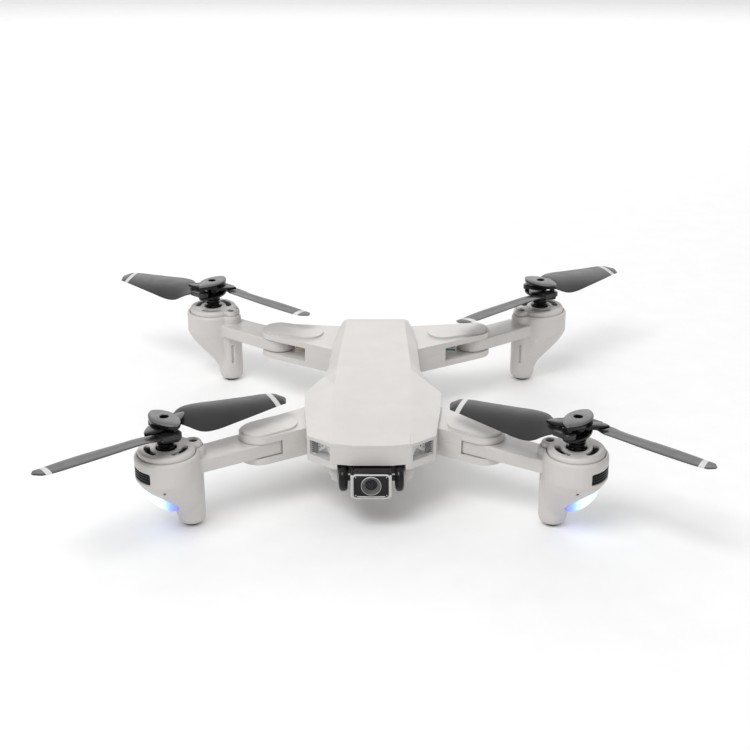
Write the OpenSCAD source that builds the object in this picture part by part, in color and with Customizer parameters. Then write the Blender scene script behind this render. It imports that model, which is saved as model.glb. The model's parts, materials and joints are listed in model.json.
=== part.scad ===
// Folding camera quadcopter: hooded body, four folding arms with motor pods,
// folding two-blade rotors, a tilting camera and a battery that slides out of the tail.
// +Z is up, the nose points along -Y, z = 0 is the ground under the four feet, and the
// origin is the point on the ground midway between the four motor axes.

/* [Layout] */
// Distance between the left and right motor axes
motor_span_x = 215; // [205:1:230]
// Distance between the front and rear motor axes
motor_span_y = 213.4; // [206:0.2:226]
// Distance of every arm hinge from the centre plane
hinge_x = 61.5; // [60:0.5:63]
// How far the front hinges lie ahead of the origin
hinge_front_y = 77; // [75:0.5:79]
// How far the rear hinges lie behind the origin
hinge_rear_y = 74; // [72:0.5:76]

/* [Arms] */
// Underside of the arm beams above the ground
arm_bottom = 32; // [31.8:0.1:32.2]
// Thickness of the arm beams
arm_thick = 8; // [7.5:0.1:8]
// Half width of an arm at its hinge
arm_half_hinge = 9.8; // [9:0.1:9.9]
// Half width of an arm at its pod
arm_half_pod = 8.6; // [8:0.1:9.5]
// Radius of the motor pods
pod_r = 17.2; // [16.8:0.1:18]
// Height of the rim of the motor pods
pod_rim = 45.7; // [45:0.1:46.5]
// Radius of the landing legs under the pods
leg_r = 7.7; // [7:0.1:8]
// Radius of the hinge pins
hinge_pin_r = 2; // [1.8:0.1:2.2]

/* [Rotors] */
// Distance from the rotor axis to a blade tip
blade_reach = 76; // [72:1:77]
// Distance from the rotor axis to a blade pivot pin
blade_pin_at = 10; // [9.8:0.1:10.2]
// Pitch of the blades at their widest place
blade_pitch = 18; // [12:1:20]
// Height of the flat blade roots
blade_z = 57.5; // [57.4:0.1:57.6]

/* [Body] */
// Height of the seam between the hood and the frame
seam_z = 44.2; // [44.1:0.1:44.5]
// Height of the flat top of the hood
roof_z = 51; // [49:0.5:54]
// Wall thickness of the shells
wall = 1.8; // [1.5:0.1:2]
// Underside of the belly
belly_z = 22; // [21.5:0.1:22.5]

/* [Camera] */
// Height of the camera's tilt axis
camera_z = 26.1; // [26:0.1:26.4]
// How far the tilt axis lies ahead of the origin
camera_y = 99; // [98.5:0.5:99.5]
// Half width of the camera head
camera_half = 10.9; // [10.5:0.1:11]

/* [Hidden] */
$fn = 48;

grey = [0.85, 0.84, 0.82];
dark = [0.16, 0.16, 0.17];
black = [0.05, 0.05, 0.06];
steel = [0.75, 0.76, 0.78];

// One row per corner: side of the nose plane, front or rear, blade heading, spin sense.
PLACE = ["front_left", "front_right", "rear_left", "rear_right"];
side = [-1, 1, -1, 1];
end = [-1, -1, 1, 1];
blade_heading = [219.4, -32, 149, 44];
spin = [1, -1, -1, 1];

arm_top = arm_bottom + arm_thick;
plate_gap = 0.3;
plate_thick = 3.7;
bracket_r = 11;
bracket_split = 37;
frame_bottom = 34;
wing_bottom = 31;
slide_gap = 0.3;
fit_gap = 0.05;
cap_r = 15.2;
cap_seat = 43.5;
cap_top = 48.4;
cavity_floor = 34;
screw_at = 15.6;
stop_at = 12.6;
leg_top = 6;

function motor(i) = [side[i] * motor_span_x / 2, end[i] * motor_span_y / 2];
function hinge(i) = [side[i] * hinge_x, end[i] < 0 ? -hinge_front_y : hinge_rear_y];
function arm_length(i) = norm(hinge(i) - motor(i));
function arm_heading(i) =
  let (d = hinge(i) - motor(i)) atan2(d[1], d[0]);
// The rear legs stand a little further in than the front ones.
function leg_at(i) = end[i] < 0 ? 12.2 : 13.6;

// Right half of the body: [y, half width of the flat top, its height, half width of the
// outer ridge, height of the ridge].
STATIONS = [
  [-100.3, 10.0, 45.9, 10.4, 45.5],
  [-98.5, 20.4, 46.1, 20.9, 45.6],
  [-87, 21.0, 47.2, 34.7, 45.4],
  [-56, 22.0, 49.4, 37.8, 46.0],
  [-31, 22.0, roof_z - 0.6, 39.0, 46.0],
  [-7, 21.6, roof_z - 0.2, 29.3, 46.0],
  [4, 21.3, roof_z, 27.2, 46.0],
  [24, 20.5, roof_z, 26.6, 46.0],
  [48, 19.4, roof_z - 0.4, 25.6, 46.0],
  [72, 18.5, roof_z - 1, 23.0, 46.0],
  [84, 18.0, 47.2, 21.4, 45.2],
  [88, 17.6, 45.6, 20.4, 45.0]
];
function half_outline(inset) = [
  for (s = STATIONS)
    [max(s[3] - inset, 2), s[0] + (s[0] < -80 ? inset : s[0] > 80 ? -inset : 0)]
];
function outline(inset = 0) =
  let (right = half_outline(inset), n = len(right))
  concat(right, [for (k = [n - 1:-1:0]) [-right[k][0], right[k][1]]]);

// Joins a row of cross-sections that have equal numbers of points into one solid.
module loft(sections) {
  rows = len(sections);
  n = len(sections[0]);
  faces = concat(
    [[for (k = [0:n - 1]) k]],
    [for (r = [0:rows - 2], k = [0:n - 1])
      let (a = r * n + k, b = r * n + (k + 1) % n) each [[a, a + n, b], [b, a + n, b + n]]],
    [[for (k = [n - 1:-1:0]) (rows - 1) * n + k]]
  );
  polyhedron([for (s = sections) each s], faces, convexity = 6);
}

// The hollow leaves out the shallow nose and tail of the hood, which are solid.
module hood_solid(hollow = false) {
  inset = hollow ? 1.5 : 0;
  foot = seam_z - (hollow ? 1 : 0);
  last = len(STATIONS) - 1;
  loft([
    for (k = hollow ? [2:last - 2] : [0:last])
      let (s = STATIONS[k], y = s[0], top_x = s[1] - inset / 2, low_x = s[3] - inset)
      [[-low_x, y, foot], [-low_x, y, s[4] - inset], [-top_x, y, s[2] - inset],
       [top_x, y, s[2] - inset], [low_x, y, s[4] - inset], [low_x, y, foot]]
  ]);
}

// Places children at a motor axis with +X pointing at the arm's hinge.
module on_arm(i) {
  translate([motor(i)[0], motor(i)[1], 0]) rotate([0, 0, arm_heading(i)]) children();
}
// Places children at a rotor axis with +X along its first blade.
module on_rotor(i) {
  translate([motor(i)[0], motor(i)[1], 0]) rotate([0, 0, blade_heading[i]]) children();
}
module disc(z1, z2, r) { translate([0, 0, z1]) cylinder(h = z2 - z1, r = r); }
module block(x1, x2, y1, y2, z1, z2) {
  translate([x1, y1, z1]) cube([x2 - x1, y2 - y1, z2 - z1]);
}

// ---------------------------------------------------------------- body shells

// Point where the line from q touches the circle round p; turn is 1 or -1.
function touch(q, p, r, turn) =
  let (d = q - p, a = atan2(d[1], d[0]) + turn * acos(r / norm(d)))
  p + r * [cos(a), sin(a)];

function bracket_root(i) = end[i] < 0
  ? [[side[i] * 33.5, -73], [side[i] * 33.5, -43]]
  : [[side[i] * 21.5, 79.5], [side[i] * 23, 38]];

module bracket_plan(i) {
  root = bracket_root(i);
  p = hinge(i);
  turn = side[i] * (end[i] < 0 ? 1 : -1);
  translate(p) circle(bracket_r);
  polygon([root[0], touch(root[0], p, bracket_r, turn), p,
           touch(root[1], p, bracket_r, -turn), root[1]]);
}
// The solid part of a bracket, inboard of the swinging arm.
module bracket_web_plan(i) {
  reach = end[i] < 0 ? hinge_x - stop_at - 0.35 : 44;
  intersection() {
    bracket_plan(i);
    translate([side[i] > 0 ? 0 : -reach, -120]) square([reach, 240]);
  }
}
module outside_body(overlap = 0) {
  difference() {
    children();
    polygon(outline(overlap));
  }
}
module slab(z1, z2) { translate([0, 0, z1]) linear_extrude(z2 - z1) children(); }

module headlight_frame(s) {
  translate([s * 27.8, -92.75, 39.4]) rotate([0, 0, s * 39.8]) children();
}
module pin_holes(z1, z2) {
  for (i = [0:3])
    translate([hinge(i)[0], hinge(i)[1], 0]) disc(z1, z2, hinge_pin_r + 0.02);
}

module top_cover() {
  color(grey) difference() {
    hood_solid();
    hood_solid(hollow = true);
  }
}

module upper_frame() {
  color(grey) difference() {
    union() {
      difference() {
        slab(frame_bottom, seam_z) polygon(outline());
        slab(frame_bottom + 1.6, seam_z + 1) polygon(outline(wall));
        // Battery shaft and wiring well behind the deck.
        block(-17.4, 17.4, -8, 95, frame_bottom - 1, 42.5);
      }
      for (s = [-1, 1]) intersection() {
        headlight_frame(s) block(-9, 9, 0, 9.5, -5.4, 4.8);
        slab(frame_bottom, seam_z) polygon(outline());
      }
      for (i = [0:3]) {
        slab(bracket_split, arm_top + plate_gap + 1)
          outside_body(0.6) bracket_web_plan(i);
        slab(arm_top + plate_gap, arm_top + plate_gap + plate_thick)
          outside_body(0.6) bracket_plan(i);
        raised_plate(i);
      }
    }
    for (s = [-1, 1]) headlight_frame(s) block(-7.2, 7.2, -1, 6.5, -4.2, 4.2);
    pin_holes(bracket_split, 43.4);
    rear_screw_holes(27, 42);
  }
}
// Shallow raised pad over each hinge.
module raised_plate(i) {
  root = bracket_root(i);
  mid = (root[0] + root[1]) / 2;
  d = mid - hinge(i);
  reach = end[i] < 0 ? 13 : 20;
  top = arm_top + plate_gap + plate_thick;
  translate([hinge(i)[0], hinge(i)[1], 0]) rotate([0, 0, atan2(d[1], d[0])]) {
    for (x = [0, reach]) translate([x, 0, 0]) disc(top - 1, top + 1.2, 9.6);
    block(0, reach, -9.6, 9.6, top - 1, top + 1.2);
  }
}

belly_screw_spots = [for (s = [-1, 1], y = [-68, -34]) [s * 16, y]];
rear_screw_spots = [for (i = [0:3]) [side[i] * (end[i] < 0 ? 42.5 : 33), end[i] < 0 ? -63 : 61]];
module rear_screw_holes(z1, z2) {
  for (p = rear_screw_spots) translate([p[0], p[1], 0]) disc(z1, z2, 1.02);
}

module belly_prism(inset) {
  intersection() {
    translate([0, 88 - inset, 0]) rotate([90, 0, 0]) linear_extrude(184 - 2 * inset)
      polygon([[-24 + inset, 31.5], [-21.5 + inset, 24 + inset / 2],
               [-18.5 + inset / 2, belly_z + inset], [18.5 - inset / 2, belly_z + inset],
               [21.5 - inset, 24 + inset / 2], [24 - inset, 31.5]]);
    slab(18, 40) polygon(outline(inset));
  }
}

module lower_frame() {
  color(grey) difference() {
    union() {
      difference() {
        union() {
          slab(wing_bottom, frame_bottom) polygon(outline());
          belly_prism(0);
        }
        difference() {
          union() {
            slab(wing_bottom + wall, frame_bottom + 1) polygon(outline(wall));
            belly_prism(wall);
          }
          block(-40, 40, -101, -82, 18, 40);
        }
      }
      for (p = belly_screw_spots)
        translate([p[0], p[1], 0]) disc(belly_z + 0.5, frame_bottom, 3);
      for (i = [0:3]) {
        slab(arm_bottom - plate_gap - plate_thick, arm_bottom - plate_gap)
          difference() {
            bracket_plan(i);
            square([46, 250], center = true);
          }
        slab(arm_bottom - plate_gap - 0.1, bracket_split)
          outside_body() bracket_web_plan(i);
      }
    }
    // Camera bay, open ahead and below.
    block(-18.2, 18.2, -101, -84, 18, frame_bottom + 1);
    // Battery shaft.
    block(-17.4, 17.4, -8, 95, 23.9, frame_bottom + 1);
    pin_holes(28.9, bracket_split + 1);
    rear_screw_holes(27, 42);
    for (p = rear_screw_spots) translate([p[0], p[1], 0]) disc(27, 29.6, 2.1);
    for (p = belly_screw_spots) translate([p[0], p[1], 0]) {
      disc(belly_z - 1, belly_z + 1.4, 2.1);
      disc(belly_z, frame_bottom + 1, 1.02);
    }
    // Seats of the power button and the flow sensor.
    translate([0, -28, 0]) disc(belly_z - 1, belly_z + 3, 3.5);
    block(-7.1, 7.1, -60.1, -49.9, belly_z - 1, belly_z + 3);
  }
}

module hinge_pins() {
  color(steel) for (i = [0:3])
    translate([hinge(i)[0], hinge(i)[1], 0]) disc(28.9, 43.4, hinge_pin_r);
}

module belly_screws() {
  color(steel) {
    for (p = belly_screw_spots) translate([p[0], p[1], 0]) difference() {
      union() {
        disc(belly_z + 0.2, belly_z + 1.4, 2);
        disc(belly_z + 1.4, belly_z + 10, 1);
      }
      disc(belly_z, belly_z + 0.9, 0.8);
    }
    for (p = rear_screw_spots) translate([p[0], p[1], 0]) difference() {
      union() {
        disc(28.3, 29.6, 2);
        disc(29.6, 41.5, 1);
      }
      disc(28, 29, 0.8);
    }
  }
}

module headlight_lenses() {
  color("white", 0.5) for (s = [-1, 1])
    headlight_frame(s) block(-7.1, 7.1, 0.15, 1.35, -4.1, 4.1);
}
module headlight_reflectors() {
  color(steel) for (s = [-1, 1]) headlight_frame(s) difference() {
    block(-7, 7, 1.4, 6.3, -4.1, 4.1);
    translate([-1.2 * s, 0.4, 0]) sphere(4.6);
  }
}

module main_board() {
  color([0.1, 0.35, 0.2]) {
    block(-15, 15, -66, -18, 35.6, 37.2);
    block(-6, 6, -50, -38, 37.2, 38.4);
    block(8, 13, -60, -52, 37.2, 39.5);
    for (y = [-30, -26, -22]) block(-12, -6, y - 1.2, y + 1.2, 37.2, 39);
  }
}

// The battery carries the tail panel of the body.
module battery() {
  color(dark) difference() {
    union() {
      block(-17.1, 17.1, -7, 88.6, 24.2, 42.2);
      block(-15, 15, 88.6, 90, 26, 40.6);
    }
    for (s = [-1, 1]) translate([s * 15.6, 89, 33]) rotate([90, 0, 0])
      cylinder(h = 4, r = 3, center = true);
  }
}

module power_button() {
  color(dark) translate([0, -28, 0]) {
    disc(belly_z - 0.7, belly_z + 3, 3.42);
    disc(belly_z + wall + 0.3, belly_z + 3, 4.4);
  }
}

module flow_sensor() {
  color(black) difference() {
    union() {
      block(-7, 7, -60, -50, belly_z + 0.1, belly_z + 2.6);
      translate([0, -55, 0]) disc(belly_z - 0.3, belly_z + 0.2, 2.6);
    }
    translate([0, -55, 0]) disc(belly_z - 1, belly_z + 0.6, 1.5);
  }
}

// Three motor leads cross the open window of each rear bracket.
module motor_wires() {
  for (s = [-1, 1], k = [0:2])
    color(["teal", "saddlebrown", "steelblue"][k])
      translate([s * 44, 63.5 + 1.6 * k, 34 + 1.7 * k]) rotate([0, s * 90, 0])
        cylinder(h = 6.6, r = 0.65);
}

// -------------------------------------------------------------------- camera

module across(x1, x2, y, z, r) {
  translate([x1, y, z]) rotate([0, 90, 0]) cylinder(h = x2 - x1, r = r);
}

module camera_mount() {
  color(black) difference() {
    union() {
      for (s = [-1, 1]) {
        across(s * 15 - 2.5, s * 15 + 2.5, -camera_y, camera_z, 7.2);
        block(s * 15 - 2.5, s * 15 + 2.5, -camera_y, -84.05, 23.5, 33.3);
      }
      block(-17.5, 17.5, -87, -84.05, 23.5, 33.3);
    }
    across(-14.5, 14.5, -camera_y, camera_z, 1.5 + fit_gap);
  }
}

module camera_head() {
  color(grey) difference() {
    union() {
      across(-camera_half, camera_half, -camera_y, camera_z, 7.3);
      translate([-camera_half, 0, 0]) rotate([90, 0, 90]) linear_extrude(2 * camera_half)
        camera_profile();
      across(-14.2, 14.2, -camera_y, camera_z, 1.5);
    }
    block(-9.6, 9.6, -112, -108.3, camera_z - 6.6, camera_z + 6.5);
    translate([0, -104, camera_z + 0.6]) rotate([90, 0, 0]) cylinder(h = 8, r = 5.4);
  }
}
// Side view of the head in front of its axis, with rounded front corners.
module camera_profile() {
  r = 2.2;
  front = -109.5;
  half = 7.3;
  for (z = [-half + r, half - r]) translate([front + r, camera_z + z]) circle(r);
  translate([front + r, camera_z - half]) square([-camera_y - front - r, 2 * half]);
  translate([front, camera_z - half + r]) square([6, 2 * (half - r)]);
}
module camera_window() {
  color(black) difference() {
    block(-9.5, 9.5, -109.6, -108.35, camera_z - 6.5, camera_z + 6.4);
    translate([0, -107, camera_z + 0.6]) rotate([90, 0, 0]) cylinder(h = 4, r = 5.4);
  }
}
module camera_lens() {
  color(black) translate([0, -104.1, camera_z + 0.6]) rotate([90, 0, 0]) difference() {
    cylinder(h = 6.2, r = 5.35);
    translate([0, 0, 5.2]) cylinder(h = 2, r = 4.4);
    translate([0, 0, 4.2]) cylinder(h = 2, r = 2.8);
  }
}

// ---------------------------------------------------------------------- arms

// Pod body: a round motor housing that narrows in a smooth curve into the landing leg.
function pod_ring(i, t, grow) =
  let (share = t * t * (3 - 2 * t), r = leg_r - 0.9 + share * (pod_r - leg_r + 0.75) + grow)
  [for (k = [0:35])
    [(1 - share) * (leg_at(i) - 1.2) + r * cos(10 * k), r * sin(10 * k),
     leg_top + t * (arm_bottom + 2 - leg_top)]];
module pod_blend(i, grow = 0) { loft([for (k = [0:9]) pod_ring(i, k / 9, grow)]); }
module leg(i) {
  translate([leg_at(i), 0, 0]) rotate_extrude()
    polygon([[0, 1.2], [4.6, 1.2], [6.4, 2], [leg_r - 0.3, 3.6], [leg_r, 5.4],
             [leg_r, arm_bottom + 2], [0, arm_bottom + 2]]);
}
// Plan of the pod's rim with its screw tab; shrink gives the cap that sits inside it.
module rim_plan(shrink = 0) {
  circle(pod_r - shrink);
  translate([screw_at, 0]) circle(6.2 - shrink * 0.8);
}

// Square corner that the front edge of a front arm has beyond its hinge.
module corner_plan(i) {
  polygon([for (p = [[3.4, 0], [5.3, -8.23], [stop_at, -3.74], [stop_at, -0.5], [8.5, 4.9]])
    [-side[i] * p[0], p[1]]]);
}

module arm(i) {
  reach = arm_length(i);
  color(grey) on_arm(i) difference() {
    union() {
      pod_blend(i);
      leg(i);
      slab(arm_bottom, pod_rim) rim_plan();
      slab(arm_bottom, arm_top) polygon([[6, -arm_half_pod], [reach, -arm_half_hinge],
                                         [reach, arm_half_hinge], [6, arm_half_pod]]);
      translate([reach, 0, 0]) {
        disc(arm_bottom, arm_top, arm_half_hinge);
        if (end[i] < 0) rotate([0, 0, -arm_heading(i)])
          slab(arm_bottom, arm_top) corner_plan(i);
      }
    }
    translate([reach, 0, 0]) disc(arm_bottom - 1, arm_top + 1, hinge_pin_r + fit_gap);
    disc(cavity_floor, pod_rim + 1, 13.4);
    slab(cap_seat, pod_rim + 1) rim_plan(1.7);
    translate([screw_at, 0, 0]) disc(36, pod_rim, 1.02);
    translate([leg_at(i), 0, 0]) disc(0, 3, 3.9);
    if (end[i] < 0) {
      vent_band(0.1);
      led_slab(0.1);
      rotate([0, 0, side[i] * 122]) translate([12.5, 0, 28]) rotate([0, 90, 0])
        cylinder(h = 5, r = 0.6);
    } else {
      for (s = [-1, 1]) leg_slot(i, s);
    }
  }
}
// Narrow vertical slots in the inner face of a rear leg.
module leg_slot(i, s) {
  translate([leg_at(i), 0, 0]) rotate([0, 0, s * 38])
    block(leg_r - 1.6, leg_r + 2, -0.6, 0.6, 13, 26);
}
// Dark band let into the outer side of a front pod.
module vent_band(gap = 0) {
  rotate([0, 0, 180 - 33 - gap]) rotate_extrude(angle = 66 + 2 * gap)
    polygon([[15.7 - gap, 33.3 - gap], [pod_r + 0.2 + gap, 33.3 - gap],
             [pod_r + 0.2 + gap, 39.4 + gap], [15.7 - gap, 39.4 + gap]]);
}
// Slab that follows the sloping underside of a front pod.
module led_slab(gap = 0) {
  translate([-4.9, 0, 18]) rotate([0, 45, 0]) translate([0, 0, -2.4 - gap]) {
    for (x = [-4.5, 4.5]) translate([x, 0, 0]) cylinder(h = 5 + 2 * gap, r = 6.5 + gap);
    translate([-4.5, -6.5 - gap, 0]) cube([9, 13 + 2 * gap, 5 + 2 * gap]);
  }
}
module led_lens(i) {
  color([0.6, 0.85, 1]) on_arm(i) intersection() {
    led_slab();
    pod_blend(i, 0.9);
  }
}
module vent(i) { color(black) on_arm(i) vent_band(); }

module motor_cap(i) {
  color(grey) on_arm(i) difference() {
    union() {
      slab(cap_seat, pod_rim + 1) rim_plan(2);
      slab(pod_rim + 1, cap_top) rim_plan(2.4);
    }
    disc(cap_seat - 1, cap_top - 1.5, 13);
    disc(cap_seat, cap_top + 1, 5.5);
    // The slots keep a fixed heading to the nose.
    rotate([0, 0, (end[i] < 0 ? 90 : 30) - arm_heading(i)]) for (k = [0:2])
      rotate([0, 0, 120 * k - 32.5]) rotate_extrude(angle = 65)
        translate([8.5, cap_top - 3]) square([3, 4]);
    translate([screw_at, 0, 0]) {
      disc(cap_seat - 1, cap_top + 1, 1.1);
      disc(46.2, cap_top + 1, 2.2);
    }
  }
}
module cap_screw(i) {
  color(black) on_arm(i) translate([screw_at, 0, 0]) difference() {
    union() {
      disc(46.2, 47.4, 2);
      disc(36.5, 46.2, 1);
    }
    disc(46.9, 48, 0.8);
  }
}
module foot(i) {
  color(black) on_arm(i) translate([leg_at(i), 0, 0]) disc(0, 3, 3.85);
}
module motor_base(i) {
  color([0.72, 0.45, 0.25]) on_arm(i) difference() {
    union() {
      disc(cavity_floor, 35.6, 11);
      disc(35.6, 41, 9.6);
    }
    disc(cavity_floor - 1, 42, 1.5 + fit_gap);
    for (k = [0:8]) rotate([0, 0, 40 * k]) block(7, 10, -0.8, 0.8, 36, 42);
  }
}

// -------------------------------------------------------------------- rotors

module motor_bell(i) {
  color(dark) on_rotor(i) {
    difference() {
      disc(36.4, 43.2, 12);
      disc(36, 41.6, 10.6);
      for (k = [0:5]) rotate([0, 0, 60 * k]) translate([7, 0, 0]) disc(41, 44, 1.8);
    }
    disc(34.4, 53, 1.5);
  }
}
// Pointed lens outline along Y.
module lens_plan(half_len, half_width) {
  r = (half_len * half_len + half_width * half_width) / (2 * half_width);
  intersection_for(s = [-1, 1]) translate([s * (r - half_width), 0]) circle(r, $fn = 96);
}
module hub(i) {
  color(black) on_rotor(i) difference() {
    union() {
      disc(43.9, 49.6, 5);
      disc(49.6, 62.4, 4);
      for (k = [0:2]) disc(50.6 + 1.7 * k, 51.5 + 1.7 * k, 4.7);
      slab(55.4, blade_z - 0.3) lens_plan(14.2, 7);
      slab(60.7, 62.4) rotate([0, 0, 25 - 90]) lens_plan(17, 5.6);
      for (s = [-1, 1]) translate([0, s * blade_pin_at, 0]) disc(57, 62.4, 1.5);
    }
    disc(43, 53.2, 1.5 + 0.02);
  }
}
module hub_cap(i) {
  color(black) on_rotor(i) difference() {
    union() {
      slab(62.5, 64.6) lens_plan(14.25, 7);
      slab(64.6, 65.4) lens_plan(13.2, 6.4);
      slab(65.4, 66) lens_plan(11, 5.2);
    }
    disc(63.4, 67, 2.4);
  }
}

// [distance from the pivot, middle line, lead, trail, pitch, thickness]
BLADE = [
  [7, -1.2, 3.2, 3.2, 0, 2.6],
  [11, -2.8, 4.8, 6.8, 0.4, 2.2],
  [17, -4.6, 8.6, 12.0, 0.9, 1.8],
  [25, -5.6, 9.6, 13.2, 1, 1.5],
  [40, -7.0, 8.8, 11.8, 0.83, 1.3],
  [56, -8.4, 7.6, 9.6, 0.66, 1.1],
  [68, -9.3, 6.6, 7.6, 0.55, 0.9],
  [74, -9.9, 4.6, 6.6, 0.5, 0.8],
  [76.4, -10.3, 1.6, 5.0, 0.5, 0.6]
];
function blade_section(row, s) =
  let (
    x = row[0] * blade_reach / 77,
    chord = row[2] + row[3],
    slope = tan(row[4] * blade_pitch),
    zc = blade_z + 1.5 - row[0] / 24,
    half = row[5] / 2
  )
  [for (p = [[0, 0], [0.25, 1], [0.65, 0.7], [1, 0], [0.65, -0.6], [0.25, -0.7]])
    let (across_y = s * (row[2] - p[0] * chord))
    [x, row[1] + across_y, zc + s * across_y * slope + p[1] * half]];

// One folding blade; its pivot is on the counter-clockwise side of its heading.
module blade_solid(i) {
  s = spin[i];
  translate([0, blade_pin_at, 0]) difference() {
    union() {
      disc(blade_z, 62.2, 2.8);
      slab(blade_z, blade_z + 2.8) {
        circle(3.6);
        polygon([[0, -3.4], [8.5, -4.7], [8.5, 2], [0, 3.4]]);
      }
      if (s > 0)
        loft([for (row = BLADE) blade_section(row, s)]);
      else
        loft([for (row = BLADE) let (b = blade_section(row, s))
               [for (k = [len(b) - 1:-1:0]) b[k]]]);
    }
    disc(blade_z - 1, 63, 1.5 + fit_gap);
  }
}
module blade_a(i) { color(dark) on_rotor(i) blade_solid(i); }
module blade_b(i) { color(dark) on_rotor(i) rotate([0, 0, 180]) blade_solid(i); }

top_cover();
upper_frame();
lower_frame();
hinge_pins();
headlight_lenses();
headlight_reflectors();
main_board();
battery();
power_button();
belly_screws();
flow_sensor();
motor_wires();
camera_mount();
camera_head();
camera_window();
camera_lens();
for (i = [0:3]) {
  arm(i);
  motor_cap(i);
  cap_screw(i);
  motor_base(i);
  foot(i);
  motor_bell(i);
  hub(i);
  hub_cap(i);
  blade_a(i);
  blade_b(i);
}
for (i = [0:1]) {
  led_lens(i);
  vent(i);
}
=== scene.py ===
"""Looks of the folding camera quadcopter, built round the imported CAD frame.

Shapes are written in millimetres and turned into metres as each mesh is made. Every arm,
with its pod, is made in its own frame: origin under the motor axis, +X towards the hinge.
Every rotor is made with its origin on the motor axis and +X along its first blade.
"""
import json
import math

import bmesh
import bpy
from mathutils import Matrix, Vector


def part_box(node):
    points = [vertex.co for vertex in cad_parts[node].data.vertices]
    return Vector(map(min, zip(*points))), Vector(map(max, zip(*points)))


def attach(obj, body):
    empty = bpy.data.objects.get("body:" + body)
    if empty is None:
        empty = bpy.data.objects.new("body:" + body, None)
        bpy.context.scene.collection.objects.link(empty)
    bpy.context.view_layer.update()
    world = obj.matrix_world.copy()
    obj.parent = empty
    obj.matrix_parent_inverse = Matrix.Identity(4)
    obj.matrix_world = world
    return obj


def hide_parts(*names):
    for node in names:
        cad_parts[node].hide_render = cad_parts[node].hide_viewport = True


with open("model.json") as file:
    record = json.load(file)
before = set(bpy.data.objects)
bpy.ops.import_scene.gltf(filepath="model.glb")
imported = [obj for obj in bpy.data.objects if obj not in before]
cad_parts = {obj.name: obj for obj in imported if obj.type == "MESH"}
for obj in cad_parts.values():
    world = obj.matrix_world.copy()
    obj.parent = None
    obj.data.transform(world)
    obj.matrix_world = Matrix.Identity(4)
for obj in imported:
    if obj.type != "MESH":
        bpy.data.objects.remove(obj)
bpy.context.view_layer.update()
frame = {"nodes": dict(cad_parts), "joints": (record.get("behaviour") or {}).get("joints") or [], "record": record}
nodes = frame["nodes"]
joints = {j["name"]: j for j in frame["joints"]}
PLACES = ["front_left", "front_right", "rear_left", "rear_right"]
MM = 0.001

# Sizes that several pieces share, in millimetres.
ARM_LOW, ARM_HIGH = 32, 40          # underside and top of a folding arm
FRONT_LEG, REAR_LEG = 12.2, 13.6    # from the motor axis to the middle of a landing leg
SCREW_TAB = 15.6                    # from the motor axis to the cap's screw
LED_CENTRE, LED_LEAN = (-4.9, 0, 18), 45
PIVOT = 10                          # from the motor axis to a blade's pin
BLADE_BAND = (67.2, 70.2)           # where the silver band starts and ends
CAMERA_SCREWS = [(x, z) for x in (-8.2, 8.2) for z in (-5.4, 5.3)]
SHADED_TOP_REACH = 9.7                  # a camera frame face above the axis and nearer to it than this is painted black: painted shade under the camera bay


# ------------------------------------------------------------------ materials

def new_material(name):
    mat = bpy.data.materials.new(name)
    mat.use_nodes = True
    tree = mat.node_tree
    return mat, tree, tree.nodes["Principled BSDF"]


def noise(tree, scale, detail=4.0, rough=0.55, stretch=(1, 1, 1)):
    """A noise texture in the piece's own coordinates; scale is per metre."""
    coord = tree.nodes.new("ShaderNodeTexCoord")
    mapping = tree.nodes.new("ShaderNodeMapping")
    mapping.inputs["Scale"].default_value = stretch
    tex = tree.nodes.new("ShaderNodeTexNoise")
    tex.inputs["Scale"].default_value = scale
    tex.inputs["Detail"].default_value = detail
    tex.inputs["Roughness"].default_value = rough
    tree.links.new(coord.outputs["Object"], mapping.inputs["Vector"])
    tree.links.new(mapping.outputs["Vector"], tex.inputs["Vector"])
    return tex


def spread(tree, value, low, high, span=(0.3, 0.7)):
    """Maps a value from span to low..high and returns the output socket."""
    ramp = tree.nodes.new("ShaderNodeMapRange")
    ramp.inputs["From Min"].default_value = span[0]
    ramp.inputs["From Max"].default_value = span[1]
    ramp.inputs["To Min"].default_value = low
    ramp.inputs["To Max"].default_value = high
    tree.links.new(value, ramp.inputs["Value"])
    return ramp.outputs["Result"]


def gradient(tree, value, *stops):
    """Colours a value; stops are (position, colour). Returns the output socket."""
    ramp = tree.nodes.new("ShaderNodeValToRGB")
    spare = ramp.color_ramp.elements
    while len(spare) < len(stops):
        spare.new(0.5)
    for element, (position, colour) in zip(spare, stops):
        element.position = position
        element.color = (*colour, 1)
    tree.links.new(value, ramp.inputs["Fac"])
    return ramp.outputs["Color"]


def bump(tree, shader, height, strength, distance):
    node = tree.nodes.new("ShaderNodeBump")
    node.inputs["Strength"].default_value = strength
    node.inputs["Distance"].default_value = distance
    tree.links.new(height, node.inputs["Height"])
    tree.links.new(node.outputs["Normal"], shader.inputs["Normal"])


def edge_wear(tree, shader, colour, lighter, amount):
    """Rubs exposed edges a little lighter than the rest."""
    geometry = tree.nodes.new("ShaderNodeNewGeometry")
    mask = spread(tree, geometry.outputs["Pointiness"], 0, amount, (0.51, 0.56))
    mix = tree.nodes.new("ShaderNodeMix")
    mix.data_type = "RGBA"
    tree.links.new(mask, mix.inputs["Factor"])
    tree.links.new(colour, mix.inputs["A"])
    mix.inputs["B"].default_value = (*lighter, 1)
    tree.links.new(mix.outputs["Result"], shader.inputs["Base Color"])


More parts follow.
